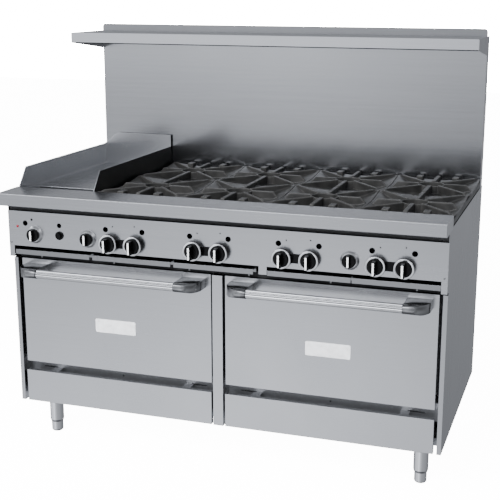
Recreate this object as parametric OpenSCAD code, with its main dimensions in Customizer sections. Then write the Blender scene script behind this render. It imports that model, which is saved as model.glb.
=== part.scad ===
// Restaurant gas range: griddle, open burners, ovens, backguard and high shelf.
// Millimetres. X runs across the front, Y runs to the back, Z is up.
// The origin is on the floor, under the middle of the range.

/* [Overall] */
// Overall width
range_w = 1500; // [1490:2:1520]
// Overall depth, from the front rail to the back panel
range_d = 876; // [870:2:890]
// Overall height, to the top of the backguard
range_h = 1448; // [1430:2:1470]
// Thickness of the body sheet
sheet = 1.5; // [1.2:0.1:2]

/* [Cooktop] */
// Height of the top of the front rail
rail_top = 916; // [912:1:920]
// Height of the front rail's face
rail_h = 43; // [41:1:45]
// How far the front rail stands out in front of the control panel
rail_overhang = 60; // [58:1:62]
// Depth of the front rail's top
rail_depth = 130; // [128:1:130]
// Width of the griddle section
griddle_w = 300; // [298:1:302]
// Thickness of the griddle plate
griddle_t = 15; // [12:1:18]
// Height of the grates' top
grate_top = 920; // [918:1:922]
// Height of the frame on which the grates and the griddle rest
grate_seat = 884; // [883:1:885]
// Radius of the opening over a burner
collar_r = 42; // [41:1:44]

/* [Doors] */
// Height of an oven door
door_h = 377; // [374:1:378]
// Width of an oven door
door_w = 699; // [697:1:701]
// Depth of a door's outer pan
door_t = 39; // [37:1:40]
// Diameter of the fluted handle bar
bar_d = 30; // [28:1:31]

/* [Controls] */
// Height of the control panel's face
panel_h = 121; // [119:1:123]
// Diameter of a burner knob's skirt
knob_d = 65; // [62:1:66]
// Diameter of a thermostat knob
dial_d = 44; // [42:1:46]
// Height of the burner knobs' shafts
knob_z = 759; // [758:1:760]
// Height of the thermostat knobs' shafts
dial_z = 768; // [766:1:770]

/* [Legs] */
// Height of the body over the floor
leg_h = 150; // [145:1:155]
// Diameter of a leg tube
leg_d = 50; // [44:1:52]
// Diameter of a levelling foot
foot_d = 42; // [36:1:42]

/* [Hidden] */
$fn = 48;

// Colours
steel = [0.70, 0.71, 0.73];
dark_steel = [0.45, 0.46, 0.48];
iron = [0.16, 0.16, 0.17];
chrome = [0.85, 0.86, 0.88];
black = [0.05, 0.05, 0.05];
brass = [0.72, 0.58, 0.30];
galvanised = [0.62, 0.64, 0.66];
wool = [0.80, 0.72, 0.50];
enamel = [0.20, 0.21, 0.24];

// Main planes, front to back
half_w = range_w / 2;
y_front = -range_d / 2;
y_panel = y_front + rail_overhang;
y_frame = y_panel + 25;
y_door = y_panel + 32;
y_kick = y_frame + 1;
y_face = y_panel + 82;
y_rail_back = y_front + rail_depth;
y_guard = range_d / 2 - 62;
y_back = range_d / 2;
y_skin = y_back - 2 - sheet;

// Main levels, bottom to top
kick_z1 = 266;
door_z0 = 297;
door_z1 = door_z0 + door_h;
ear_z0 = 686;
trim_z1 = ear_z0 - 10;
tray_z0 = 695;
tray_lip_h = 17;
panel_z0 = 725;
panel_z1 = panel_z0 + panel_h;
rail_z0 = rail_top - rail_h;
side_z1 = rail_z0 + 7;
base_z0 = leg_h + 4;
base_z1 = base_z0 + 26;
shelf_z0 = range_h - 64;
shelf_z1 = range_h - 26;

// Front trims and openings
trim_w = 15;
post_w = 35;
ear_w = 19;
door_cx = half_w / 2 - 1;
kick_w = door_w + 1;

// Oven cavity
cavity_w = 667;
cavity_z0 = 326;
cavity_z1 = 656;
cavity_y1 = y_face + 586;
liner_t = 1.2;
// Tops of the rack ledges
ledge_z = [404, 484, 564];
wool_t = 22;

// Door hinge: a pin in the lower edge of the door
hinge_y = y_door + 26;
hinge_z = door_z0 + 18;
hinge_pin_d = 10;
hinge_lug_t = 6;
hinge_dx = 290;
// Height of the slots and the screw in the strip under a door
strip_screw_z = 264;
// Radial clearance of a pin or a shaft that turns
running = 0.05;

// Door handle
bar_y = y_panel - 42;
bar_z = 642;
bar_half = 257;
bracket_half = 329;

// Burner sections
column_w = (range_w - griddle_w) / 4;
grate_gap = 2;
grate_y0 = y_rail_back + 8;
grate_y1 = y_guard - 12;
grate_ym = (grate_y0 + grate_y1) / 2;
burner_y = [(grate_y0 + grate_ym) / 2, (grate_ym + grate_y1) / 2];
griddle_z = grate_seat + griddle_t;
head_d = 78;
head_z0 = 872;
venturi_z = 802;
venturi_d = 30;

// Griddle
plate_x0 = -half_w + 13;
plate_x1 = -half_w + griddle_w - 15;
trough_y0 = y_rail_back + 8;
trough_y1 = trough_y0 + 108;
plate_y1 = y_guard - 12;
splash_x1 = plate_x1 + 3;
splash_t = 2;
splash_z1 = griddle_z + 78;
spout_x = plate_x0 + 50;

// Controls: the gas taps sit a little to the left of each pair of burners
tap_shift = -18;
tap_dx = [-52, 37];
oven_knob_x = [-650, 447];
griddle_knob_x = -450;
lighter_x = -556;
lighter_z = [771, 805];
lamp_pos = [-715, 793];
stem_d = 8;
button_d = 18;
manifold_y = y_panel + 40;
manifold_d = 34;
riser_x = half_w - 58;

// Crumb trays: left and right edge of each
tray_x = [[-727, -448], [-437, -154], [-143, 132], [179, 451], [454, 730]];
tab_x = [150.5, 177.5];
tray_y1 = y_panel + 660;

// Legs
leg_x = 672;
leg_y = [y_frame + 105, y_back - 100];
foot_h = 38;
stem_len = 60;
foot_stem_d = 16;
stud_d = 20;

// Column centre of burner column i, counted from the left
function column_x(i) = -half_w + griddle_w + column_w * (i + 0.5);
// Shaft position of burner knob k: two knobs to a column
function tap_x(k) = column_x(floor(k / 2)) + tap_shift + tap_dx[k % 2];

// A box given by its lower and upper corners
module box(x0, x1, y0, y1, z0, z1) {
    translate([x0, y0, z0])
        cube([x1 - x0, y1 - y0, z1 - z0]);
}

// Round bars along each axis
module bar_x(x0, x1, y, z, d) {
    translate([x0, y, z])
        rotate([0, 90, 0])
            cylinder(h = x1 - x0, d = d);
}

module bar_along_y(x, y0, y1, z, d) {
    translate([x, y0, z])
        rotate([-90, 0, 0])
            cylinder(h = y1 - y0, d = d);
}

module bar_up(x, y, z0, z1, d) {
    translate([x, y, z0])
        cylinder(h = z1 - z0, d = d);
}

// A part and its mirror image on the other side
module both_sides() {
    children();
    mirror([1, 0, 0])
        children();
}

// Turns a flat drawing in Y and Z into a solid that runs along X
module run_x(x0, x1) {
    translate([x0, 0, 0])
        rotate([90, 0, 90])
            linear_extrude(height = x1 - x0)
                children();
}

// ---- Body ----

// Side panel on the right: sheet with a folded trim at the front and flanges inside
module side_shell() {
    trim_x = half_w - trim_w;
    flange = 12;
    notch = 8;
    box(half_w - sheet, half_w, y_frame, y_skin, leg_h, trim_z1);
    box(half_w - sheet, half_w, y_frame + notch, y_skin, trim_z1, ear_z0);
    box(half_w - sheet, half_w, y_panel + sheet, y_skin, ear_z0, rail_z0);
    box(half_w - sheet, half_w, y_rail_back, y_skin, rail_z0, side_z1);
    // Trim beside the doors, with its return
    box(trim_x, half_w, y_frame, y_frame + sheet, leg_h, trim_z1);
    box(trim_x, trim_x + sheet, y_frame, y_face + sheet, leg_h, trim_z1);
    // Sill that closes the cheek beside the control panel
    box(trim_x, half_w, y_panel + sheet, y_frame + sheet, ear_z0, ear_z0 + sheet);
    // Flanges at the top, the bottom and the back
    box(half_w - flange, half_w, y_rail_back, y_skin, side_z1 - sheet, side_z1);
    box(half_w - flange, half_w, y_face + sheet, y_skin, leg_h, leg_h + sheet);
    box(half_w - flange, half_w, y_skin - sheet, y_skin, leg_h, side_z1);
}

module side_panels() {
    color(steel)
        both_sides()
            side_shell();
}

// Back panel with two rows of vents and the hole for the gas inlet
module back_panel() {
    vent_w = 60;
    vent_h = 8;
    color(galvanised)
        difference() {
            box(-half_w, half_w, y_skin, y_skin + sheet, leg_h, side_z1);
            for (row = [230, 262, 740, 772])
                for (i = [-7 : 7])
                    translate([i * 88 - vent_w / 2, y_skin - 1, row])
                        cube([vent_w, sheet + 2, vent_h]);
            bar_along_y(riser_x, y_skin - 1, y_back + 1, knob_z, manifold_d + 4);
        }
}

// Base: welded channel frame with the floor of the burner compartment
module base_frame() {
    x1 = half_w - 12;
    y0 = y_face + sheet;
    rail = 40;
    rise = 24;
    color(galvanised)
        difference() {
            union() {
                box(-x1, x1, y0, y0 + rail, base_z0, base_z0 + rise);
                box(-x1, x1, y_skin - rail, y_skin, base_z0, base_z0 + rise);
                both_sides()
                    box(x1 - rail, x1, y0, y_skin, base_z0, base_z0 + rise);
                box(-rail / 2, rail / 2, y0, y_skin, base_z0, base_z0 + rise);
                box(-x1, x1, y0, y_skin, base_z0 + rise, base_z1);
                // Pads over the legs
                both_sides()
                    for (y = leg_y)
                        box(leg_x - 50, x1, y - 45, y + 45, base_z0, base_z0 + rise);
            }
            // Threaded sockets of the legs
            both_sides()
                for (y = leg_y)
                    bar_up(leg_x, y, base_z0 - 1, base_z0 + 18, stud_d);
            // Air holes in the floor
            for (i = [-5 : 5])
                for (y = [-60, 60])
                    if (i != 0)
                        bar_up(i * 110, y, base_z0 + rise - 1, base_z1 + 1, 26);
        }
}

// One slotted strip under a door, with the two hinge lugs of that door
module hinge_strip() {
    strip_z0 = 238;
    slot_w = 55;
    slot_h = 3.5;
    x0 = post_w / 2;
    x1 = half_w - trim_w;
    difference() {
        box(x0, x1, y_face, y_face + sheet, strip_z0, door_z0 + 4);
        for (s = [-1, 1])
            translate([door_cx + s * 284 - slot_w / 2, y_face - 1, strip_screw_z - slot_h / 2])
                cube([slot_w, sheet + 2, slot_h]);
        bar_along_y(door_cx, y_face - 1, y_face + sheet + 1, strip_screw_z, 5);
    }
    for (s = [-1, 1]) {
        hinge_lug(door_cx + s * hinge_dx);
        // Tongue on which the kick panel hangs
        box(door_cx + s * 250 - 15, door_cx + s * 250 + 15, y_kick + 4, y_face,
            kick_z1 - sheet - 3.3, kick_z1 - sheet - 0.3);
    }
}

// Lug that holds a hinge pin
module hinge_lug(x) {
    difference() {
        union() {
            box(x - hinge_lug_t / 2, x + hinge_lug_t / 2, hinge_y, y_face,
                hinge_z - 11, hinge_z + 11);
            bar_x(x - hinge_lug_t / 2, x + hinge_lug_t / 2, hinge_y, hinge_z, 22);
            box(x - 14, x + 14, y_face - 1, y_face, hinge_z - 15, hinge_z + 15);
            box(x - 14, x + 14, y_face, y_face + sheet, door_z0 + 4, hinge_z + 9);
        }
        bar_x(x - 20, x + 20, hinge_y, hinge_z, hinge_pin_d + 2 * running);
    }
}

// Front frame: centre post, cross rail over the doors, hinge strips, tray runners
module front_frame() {
    post_x = post_w / 2;
    cross_z0 = door_z1 + 1.5;
    cross_z1 = tray_z0 - 0.4 - sheet;
    cross_y = y_panel + 44;
    color(steel) {
        // Centre post, a channel open to the back
        box(-post_x, post_x, y_frame, y_frame + sheet, leg_h, door_z1);
        both_sides()
            box(post_x - sheet, post_x, y_frame, y_face + sheet, leg_h, door_z1);
        both_sides()
            box(post_x - sheet, post_x, cross_y, y_face + sheet, door_z1, cross_z1);
        // Cross rail, an angle
        box(-half_w + trim_w, half_w - trim_w, cross_y, cross_y + sheet, cross_z0, cross_z1);
        box(-half_w + trim_w, half_w - trim_w, cross_y, y_face + sheet,
            cross_z1, cross_z1 + sheet);
        both_sides()
            hinge_strip();
        // Runners that carry the trays
        for (x = [-600, -500, -380, -220, -90, 90, 240, 380, 520, 660])
            box(x - 10, x + 10, y_face + sheet, tray_y1 - 60, cross_z1, cross_z1 + sheet);
    }
}

// Front rail: folded box with a rounded nose and closed ends
module rail_outline() {
    nose = 4;
    z1 = rail_top;
    union() {
        translate([y_front + nose, rail_z0])
            square([rail_depth - nose, rail_h]);
        translate([y_front, rail_z0 + nose])
            square([rail_depth, rail_h - 2 * nose]);
        translate([y_front + nose, z1 - nose])
            circle(r = nose);
        translate([y_front + nose, rail_z0 + nose])
            circle(r = nose);
    }
}

module front_rail() {
    wall = 2;
    color(steel) {
        difference() {
            run_x(-half_w + wall, half_w - wall)
                rail_outline();
            box(-half_w, half_w, y_front + wall, y_rail_back - wall,
                rail_z0 + wall, rail_top - wall);
            box(-half_w, half_w, y_panel + 2, y_rail_back - wall,
                rail_z0 - 1, rail_z0 + wall + 1);
        }
        both_sides()
            run_x(half_w - wall, half_w)
                rail_outline();
    }
}

// ---- Controls ----

module panel_hole(x, z, d) {
    bar_along_y(x, y_panel - 1, y_panel + sheet + 1, z, d);
}

// Control panel: face with ears at both ends, a tab between the trays and real holes
module control_panel() {
    y1 = y_panel + sheet;
    color(steel)
        difference() {
            union() {
                box(-half_w, half_w, y_panel, y1, panel_z0, panel_z1);
                both_sides()
                    box(half_w - ear_w, half_w, y_panel, y1, ear_z0, panel_z0);
                box(tab_x[0], tab_x[1], y_panel, y1, tray_z0 + 3, panel_z0);
                // Returns at the top and the bottom
                box(-half_w + 2, half_w - 2, y_panel, y_panel + 8, panel_z1 - sheet, panel_z1);
                box(-half_w + ear_w, half_w - ear_w, y_panel, y_panel + 9,
                    panel_z0, panel_z0 + sheet);
            }
            for (k = [0 : 7])
                panel_hole(tap_x(k), knob_z, 14);
            for (x = oven_knob_x)
                panel_hole(x, dial_z, 14);
            panel_hole(griddle_knob_x, dial_z, 14);
            // Lighting holes and pilot screws over each pair of knobs
            for (i = [0 : 3]) {
                cx = column_x(i) + tap_shift;
                panel_hole(cx - 66, panel_z0 + 79.5, 18.5);
                panel_hole(cx + 66, panel_z0 + 79.5, 18.5);
                panel_hole(cx - 40, panel_z0 + 91, 4.5);
                panel_hole(cx + 39, panel_z0 + 96.5, 4.5);
            }
            panel_hole(lighter_x, lighter_z[0], 22);
            panel_hole(lighter_x, lighter_z[1], 16.5);
            panel_hole(lamp_pos[0], lamp_pos[1], 7);
            panel_hole(-685, panel_z0 + 80, 18.5);
            panel_hole(-660, panel_z0 + 94, 8);
        }
}

// Chrome dish behind each thermostat knob
module dial_bezels() {
    color(chrome)
        for (x = [oven_knob_x[0], griddle_knob_x, oven_knob_x[1]])
            translate([x, y_panel, dial_z])
                rotate([90, 0, 0])
                    rotate_extrude()
                        polygon([[11, 0], [30.5, 0], [30.5, 1.2], [25, 3.4], [11, 3.4]]);
}

// Plates that join the burner knobs in pairs, the lamp and the bush of the lighter button
module panel_trim() {
    plate_t = 3;
    color(black) {
        for (i = [0 : 3]) {
            x0 = tap_x(2 * i);
            x1 = tap_x(2 * i + 1);
            difference() {
                union() {
                    box(x0, x1, y_panel - plate_t, y_panel, knob_z - 15, knob_z + 15);
                    for (x = [x0, x1])
                        bar_along_y(x, y_panel - plate_t, y_panel, knob_z, 60);
                }
                for (x = [x0, x1])
                    bar_along_y(x, y_panel - plate_t - 1, y_panel + 1, knob_z, 22);
            }
        }
        bar_along_y(lamp_pos[0], y_panel - 2, y_panel, lamp_pos[1], 9);
        bar_along_y(lamp_pos[0], y_panel, y_panel + 18, lamp_pos[1], 6.8);
        difference() {
            union() {
                bar_along_y(lighter_x, y_panel - 4, y_panel, lighter_z[0], 29);
                bar_along_y(lighter_x, y_panel, y_panel + 20, lighter_z[0], 21.8);
            }
            bar_along_y(lighter_x, y_panel - 5, y_panel + 25, lighter_z[0],
                button_d + 2 * running);
        }
    }
}

// Cap of a knob with its edge rounded, and a grip that stands up from its face
module knob_cap(d, y0, y1, grip_y) {
    r = d / 2;
    edge = 2;
    grip_w = 12.5;
    translate([0, y0, 0])
        rotate([90, 0, 0])
            rotate_extrude()
                union() {
                    square([r, y0 - y1 - edge]);
                    square([r - edge, y0 - y1]);
                    translate([r - edge, y0 - y1 - edge])
                        circle(r = edge);
                }
    box(-grip_w / 2, grip_w / 2, grip_y, y1 + edge, 1 - r, r - 3);
}

// Burner knob: black skirt, chrome ring, cap with a grip
module burner_knob(k) {
    skirt_y = y_panel - 3.5;
    ring_y = y_panel - 21;
    color(black)
        translate([tap_x(k), 0, knob_z])
            difference() {
                union() {
                    bar_along_y(0, ring_y + 3, skirt_y, 0, knob_d - 3);
                    bar_along_y(0, ring_y, ring_y + 3, 0, knob_d);
                    knob_cap(52, ring_y, y_panel - 26, y_panel - 50);
                }
                bar_along_y(0, y_panel - 26, y_panel, 0, stem_d + 2 * running);
                bar_along_y(0, y_panel - 12, y_panel, 0, 40);
            }
}

// Thermostat knob: a cap with a grip
module dial_knob(x) {
    color(black)
        translate([x, 0, dial_z])
            difference() {
                knob_cap(dial_d, y_panel - 4, y_panel - 20, y_panel - 32);
                bar_along_y(0, y_panel - 15, y_panel, 0, stem_d + 2 * running);
            }
}

// Push button of the spark lighter, in its bush
module igniter_button() {
    color(black)
        difference() {
            bar_along_y(lighter_x, y_panel - 11, y_panel + 18, lighter_z[0], button_d);
            bar_along_y(lighter_x, y_panel - 12, y_panel - 10.2, lighter_z[0], button_d - 5);
        }
}

// Manifold behind the panel, its run along the right side and the inlet at the back
module gas_manifold() {
    elbow = manifold_d + 6;
    bore = 27;
    color(brass)
        difference() {
            union() {
                bar_x(-690, riser_x, manifold_y, knob_z, manifold_d);
                bar_up(riser_x, manifold_y, knob_z - elbow / 2, knob_z + elbow / 2, elbow);
                bar_along_y(riser_x, manifold_y, y_back - 1, knob_z, manifold_d);
            }
            bar_along_y(riser_x, y_back - 40, y_back, knob_z, bore);
            bar_along_y(riser_x, manifold_y + 30, y_back - 30, knob_z, bore - 5);
            bar_x(-670, riser_x - 30, manifold_y, knob_z, bore - 5);
        }
}

// One gas tap: body against the manifold, shaft through the panel
module gas_tap(x, z, shaft_y) {
    bar_along_y(x, y_panel + 8, manifold_y - manifold_d / 2 + 3, z, 26);
    bar_along_y(x, shaft_y, y_panel + 8, z, stem_d);
}

module gas_valves() {
    color(brass) {
        for (k = [0 : 7]) {
            gas_tap(tap_x(k), knob_z, y_panel - 25);
            // Outlet with its orifice, facing the mixer tube
            bar_up(tap_x(k), y_panel + 15, knob_z + 12.5, venturi_z, 12);
            bar_along_y(tap_x(k), y_panel + 9, y_panel + 36, venturi_z, 11);
        }
        for (x = [oven_knob_x[0], griddle_knob_x, oven_knob_x[1]])
            gas_tap(x, dial_z, y_panel - 14);
    }
}

// ---- Cooktop ----

// Frame that carries the grates and the griddle, with the walls of the burner box
module top_frame() {
    x0 = -half_w + 12;
    x1 = half_w - 18;
    divider = -half_w + griddle_w;
    y0 = y_rail_back + 4;
    y1 = y_guard - 6;
    bar = 22;
    z0 = grate_seat - 8;
    wall_z0 = 726;
    griddle_y0 = trough_y1 + 5;
    apron_y = y_panel + 10;
    strap_z0 = panel_z1 + 2;
    strap_z1 = strap_z0 + 14;
    color(dark_steel)
        difference() {
            union() {
                // Heat baffle behind the gap over the control panel, on two straps
                box(-half_w + 3, half_w - 3, apron_y, apron_y + sheet, panel_z1 + 1,
                    rail_top - 2.3);
                box(x0, x0 + sheet, apron_y, griddle_y0 + 1, strap_z0, strap_z1);
                box(x1 - sheet, x1, apron_y, y0, strap_z0, strap_z1);
                // Bars under the grates
                box(divider, x1, y0, y0 + bar, z0, grate_seat);
                box(divider, x1, grate_ym - bar / 2, grate_ym + bar / 2, z0, grate_seat);
                box(x1 - bar, x1, y0, y1, z0, grate_seat);
                for (i = [0 : 3]) {
                    x = column_x(i) - column_w / 2;
                    w = i == 0 ? bar + 8 : bar;
                    box(x - w / 2, x + w / 2, y0, y1, z0, grate_seat);
                }
                // Bars under the griddle
                box(x0, x1, y1 - bar, y1, z0, grate_seat);
                box(x0, divider, griddle_y0, griddle_y0 + bar, z0, grate_seat);
                box(x0, x0 + bar, griddle_y0, y1, z0, grate_seat);
                // Walls of the burner box
                box(divider, divider + sheet, grate_ym - 100, y1, wall_z0, z0);
                box(x1 - sheet, x1, y0, y1, wall_z0, z0);
                box(x0, x0 + sheet, griddle_y0, y1, wall_z0, z0);
                box(x0, x1, y1 - sheet, y1, wall_z0, z0);
                // Cross bars under the burners' tubes
                for (y = burner_y)
                    box(x0, x1, y - 10, y + 10, venturi_z - venturi_d / 2 - 6,
                        venturi_z - venturi_d / 2);
                box(divider - 40, x1, y0 - 10, y0, venturi_z - venturi_d / 2 - 10,
                    venturi_z - venturi_d / 2 - 6);
                box(x1 - sheet, x1, y0 - 10, y0, venturi_z - venturi_d / 2 - 10, z0);
            }
            bar_along_y(riser_x, y1 - 10, y1 + 1, knob_z, manifold_d + 4);
        }
}

// Open burner: a round cast head on a neck, fed by a mixer tube from the front
module open_burner(column, row) {
    cx = column_x(column);
    cy = burner_y[row];
    tube_x = tap_x(2 * column + 1 - row);
    mouth_y = y_panel + 58;
    neck_d = 34;
    difference() {
        union() {
            bar_up(cx, cy, head_z0, head_z0 + 14, head_d);
            bar_up(cx, cy, head_z0 + 14, head_z0 + 20, head_d - 26);
            bar_up(cx, cy, venturi_z, head_z0, neck_d);
            bar_along_y(tube_x, mouth_y, cy, venturi_z, venturi_d);
            bar_along_y(tube_x, mouth_y, mouth_y + 22, venturi_z, venturi_d + 12);
            bar_x(min(tube_x, cx), max(tube_x, cx), cy, venturi_z, venturi_d);
            bar_up(tube_x, cy, venturi_z - venturi_d / 2, venturi_z + venturi_d / 2, venturi_d);
        }
        // Flame ports round the head
        for (a = [0 : 20 : 340])
            translate([cx, cy, head_z0 + 9])
                rotate([0, 0, a])
                    translate([head_d / 2 - 9, -1.5, 0])
                        cube([10, 3, 6]);
        bar_along_y(tube_x, mouth_y - 1, mouth_y + 60, venturi_z, venturi_d - 8);
    }
}

// Griddle burner: mixer tube from its tap, a cross pipe and three drilled pipes
module griddle_burner() {
    pipe_x = -half_w + griddle_w / 2 - 5;
    spread = 80;
    mouth_y = y_panel + 58;
    cross_y = trough_y1 + 30;
    end_y = plate_y1 - 30;
    difference() {
        union() {
            bar_along_y(griddle_knob_x, mouth_y, cross_y, venturi_z, venturi_d);
            bar_along_y(griddle_knob_x, mouth_y, mouth_y + 22, venturi_z, venturi_d + 12);
            bar_x(pipe_x - spread, griddle_knob_x, cross_y, venturi_z, venturi_d);
            bar_up(griddle_knob_x, cross_y, venturi_z - venturi_d / 2,
                venturi_z + venturi_d / 2, venturi_d);
            for (s = [-1, 0, 1])
                bar_along_y(pipe_x + s * spread, cross_y, end_y, venturi_z, venturi_d);
        }
        for (y = [cross_y + 30 : 30 : end_y - 20])
            for (s = [-1, 0, 1])
                bar_up(pipe_x + s * spread, y, venturi_z, venturi_z + venturi_d, 5);
        bar_along_y(griddle_knob_x, mouth_y - 1, mouth_y + 60, venturi_z, venturi_d - 8);
    }
}

// Oven burner: a looped pipe below a baffle plate
module oven_burner(cx) {
    z = 235;
    d = 28;
    reach = 150;
    half_l = 200;
    baffle_z = 290;
    for (t = [-1, 1]) {
        bar_along_y(cx + t * reach, -half_l, half_l, z, d);
        bar_x(cx - reach, cx + reach, t * half_l, z, d);
        for (y = [-half_l, half_l])
            bar_up(cx + t * reach, y, base_z1, z + d / 2, d);
        box(cx + t * 240 - 4, cx + t * 240 + 4, -60, 60, base_z1, baffle_z);
    }
    box(cx - 250, cx + 250, -half_l - 40, half_l + 40, baffle_z, baffle_z + 2);
}

module burners() {
    color(iron) {
        for (column = [0 : 3])
            for (row = [0, 1])
                open_burner(column, row);
        griddle_burner();
        both_sides()
            oven_burner(door_cx);
    }
}

// Cast arm from the collar to a point on the rim: level on top, sloped at its end
module grate_arm(to_x, to_y, w, slope, drop) {
    reach = sqrt(to_x * to_x + to_y * to_y);
    z0 = grate_seat + 8;
    rotate([0, 0, atan2(to_y, to_x)])
        translate([0, w / 2, 0])
            rotate([90, 0, 0])
                linear_extrude(height = w)
                    polygon([[collar_r + 2, z0], [reach, z0], [reach, grate_top - drop],
                             [reach - slope, grate_top], [collar_r + 2, grate_top]]);
}

// Grate: low rim, bowl that flares up to the corners, collar over the burner, eight arms,
// and two lugs that steady a pan on the outer side, s = -1 in front and 1 at the back
module grate(cx, cy, y0, y1, s) {
    x0 = -column_w / 2 + grate_gap / 2;
    x1 = -x0;
    ya = y0 - cy;
    yb = y1 - cy;
    rim = 5;
    rim_z1 = 902;
    arm = 9;
    wide = 14;
    lug = 11;
    lug_x = 65;
    lug_l = 36;
    corner_r = sqrt(x1 * x1 + yb * yb);
    wall = 4;
    // Underside of the bowl, from the collar out to the corners
    bowl = [[collar_r + 1, grate_seat + 2], [115, grate_seat + 5], [140, grate_seat + 12],
            [corner_r, grate_seat + 28]];
    lug_y0 = s < 0 ? ya + 2 : yb - lug_l - 2;
    color(iron)
        translate([cx, cy, 0]) {
            // Rim
            difference() {
                box(x0, x1, ya, yb, grate_seat, rim_z1);
                box(x0 + rim, x1 - rim, ya + rim, yb - rim, grate_seat - 1, rim_z1 + 1);
            }
            // Bowl that catches spills
            intersection() {
                box(x0, x1, ya, yb, grate_seat, grate_top);
                rotate_extrude()
                    polygon(concat(bowl, [for (i = [3 : -1 : 0]) bowl[i] + [0, wall]]));
            }
            // Collar
            difference() {
                bar_up(0, 0, grate_seat + 2, grate_top - 3, 2 * collar_r + 10);
                bar_up(0, 0, grate_seat, grate_top, 2 * collar_r);
            }
            // Arms to the front and the back, to the sides and to the corners
            for (y = [ya + 1, yb - 1])
                grate_arm(0, y, wide, 3, 2);
            for (x = [x0 + 12, x1 - 12]) {
                grate_arm(x, 0, arm, 16, 17);
                for (y = [ya + 9, yb - 9])
                    grate_arm(x + sign(x) * 3, y, arm, 14, 5);
            }
            // Lugs
            for (side = [-1, 1])
                box(side * lug_x - lug, side * lug_x + lug, lug_y0, lug_y0 + lug_l,
                    grate_seat + 6, grate_top);
        }
}

module grate_front(i) {
    grate(column_x(i), burner_y[0], grate_y0, grate_ym - grate_gap / 2, -1);
}

module grate_rear(i) {
    grate(column_x(i), burner_y[1], grate_ym + grate_gap / 2, grate_y1, 1);
}

// ---- Griddle ----

// Griddle plate with the grease trough in front of it and a spout over the drawer
module griddle_plate() {
    z1 = griddle_z;
    trough_z0 = z1 - 34;
    spout_y = (trough_y0 + trough_y1) / 2;
    color(dark_steel)
        difference() {
            union() {
                box(plate_x0, plate_x1, trough_y1, plate_y1, z1 - griddle_t, z1);
                box(plate_x0, plate_x1, trough_y0, trough_y1 + 3, trough_z0, z1);
                bar_up(spout_x, spout_y, 730, trough_z0 + 2, 44);
            }
            box(plate_x0 + 3, plate_x1 - 3, trough_y0 + 3, trough_y1,
                trough_z0 + 3, z1 + 1);
            bar_up(spout_x, spout_y, 729, z1, 38);
        }
}

// Side wall of the splash guard, sloped at the front
module splash_side(x, z0) {
    run_x(x, x + splash_t)
        polygon([[trough_y0, z0], [trough_y0, rail_top - 2], [trough_y0 + 50, splash_z1],
                 [plate_y1, splash_z1], [plate_y1, z0]]);
}

// Splash guard: two side walls and a taller back wall with a sloped corner
module griddle_splash() {
    back_z1 = griddle_z + 123;
    corner_w = 60;
    color(steel) {
        splash_side(-half_w, side_z1);
        splash_side(splash_x1 - splash_t, grate_seat);
        box(-half_w, plate_x0, trough_y0, plate_y1, griddle_z, griddle_z + splash_t);
        box(plate_x1, splash_x1, trough_y0, plate_y1, griddle_z, griddle_z + splash_t);
        translate([0, plate_y1 + splash_t, 0])
            rotate([90, 0, 0])
                linear_extrude(height = splash_t)
                    polygon([[-half_w, grate_seat], [splash_x1, grate_seat],
                             [splash_x1, back_z1], [-half_w + corner_w, back_z1],
                             [-half_w, splash_z1]]);
    }
}

// ---- Backguard and shelf ----

// Backguard: hollow sheet box with a turned-up lip that has rounded corners
module backguard() {
    x1 = half_w - sheet;
    z0 = side_z1;
    lip_r = 12;
    box_z1 = shelf_z1 - 10;
    color(steel) {
        difference() {
            box(-x1, x1, y_guard, y_back, z0, box_z1);
            box(-x1 + sheet, x1 - sheet, y_guard + sheet, y_back - sheet,
                z0 + sheet, box_z1 - sheet);
            // Flue slots along the top and vents in the rear sheet
            for (i = [-6 : 6])
                box(i * 105 - 40, i * 105 + 40, y_guard + 18, y_guard + 46,
                    box_z1 - 5, box_z1 + 1);
            for (i = [-6 : 6])
                for (row = [950, 975])
                    box(i * 105 - 35, i * 105 + 35, y_back - 5, y_back + 1, row, row + 8);
            box(-x1 + 40, x1 - 40, y_guard + 10, y_back - 12, z0 - 1, z0 + 5);
        }
        translate([0, y_guard + sheet, 0])
            rotate([90, 0, 0])
                linear_extrude(height = sheet)
                    union() {
                        translate([-x1, box_z1])
                            square([2 * x1, range_h - box_z1 - lip_r]);
                        translate([-x1 + lip_r, box_z1])
                            square([2 * (x1 - lip_r), range_h - box_z1]);
                        for (s = [-1, 1])
                            translate([s * (x1 - lip_r), range_h - lip_r])
                                circle(r = lip_r);
                    }
    }
}

// High shelf: deck with a front lip and a tapered gusset at each end
module high_shelf() {
    y0 = y_panel + 495;
    y1 = y_back - 14;
    hem = 12;
    tail_z0 = shelf_z0 - 35;
    nose = 5;
    color(steel) {
        // Deck, lip and hem
        box(-half_w + sheet, half_w - sheet, y0, y_guard, shelf_z1 - sheet, shelf_z1);
        box(-half_w + sheet, half_w - sheet, y0, y0 + sheet, shelf_z0, shelf_z1 - sheet);
        box(-half_w + sheet, half_w - sheet, y0 + sheet, y0 + hem, shelf_z0, shelf_z0 + sheet);
        // Flange that is bolted to the backguard
        box(-half_w + sheet, half_w - sheet, y_guard - sheet, y_guard,
            shelf_z0 - 4, shelf_z1 - sheet);
        // End gussets
        both_sides()
            run_x(half_w - sheet, half_w)
                union() {
                    polygon([[y0 + nose, shelf_z0], [y0 + nose, shelf_z1], [y1, shelf_z1],
                             [y1, tail_z0]]);
                    translate([y0, shelf_z0 + nose])
                        square([nose + 1, shelf_z1 - shelf_z0 - 2 * nose]);
                    translate([y0 + nose, shelf_z0 + nose])
                        circle(r = nose);
                    translate([y0 + nose, shelf_z1 - nose])
                        circle(r = nose);
                }
    }
}

// ---- Ovens ----

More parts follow.
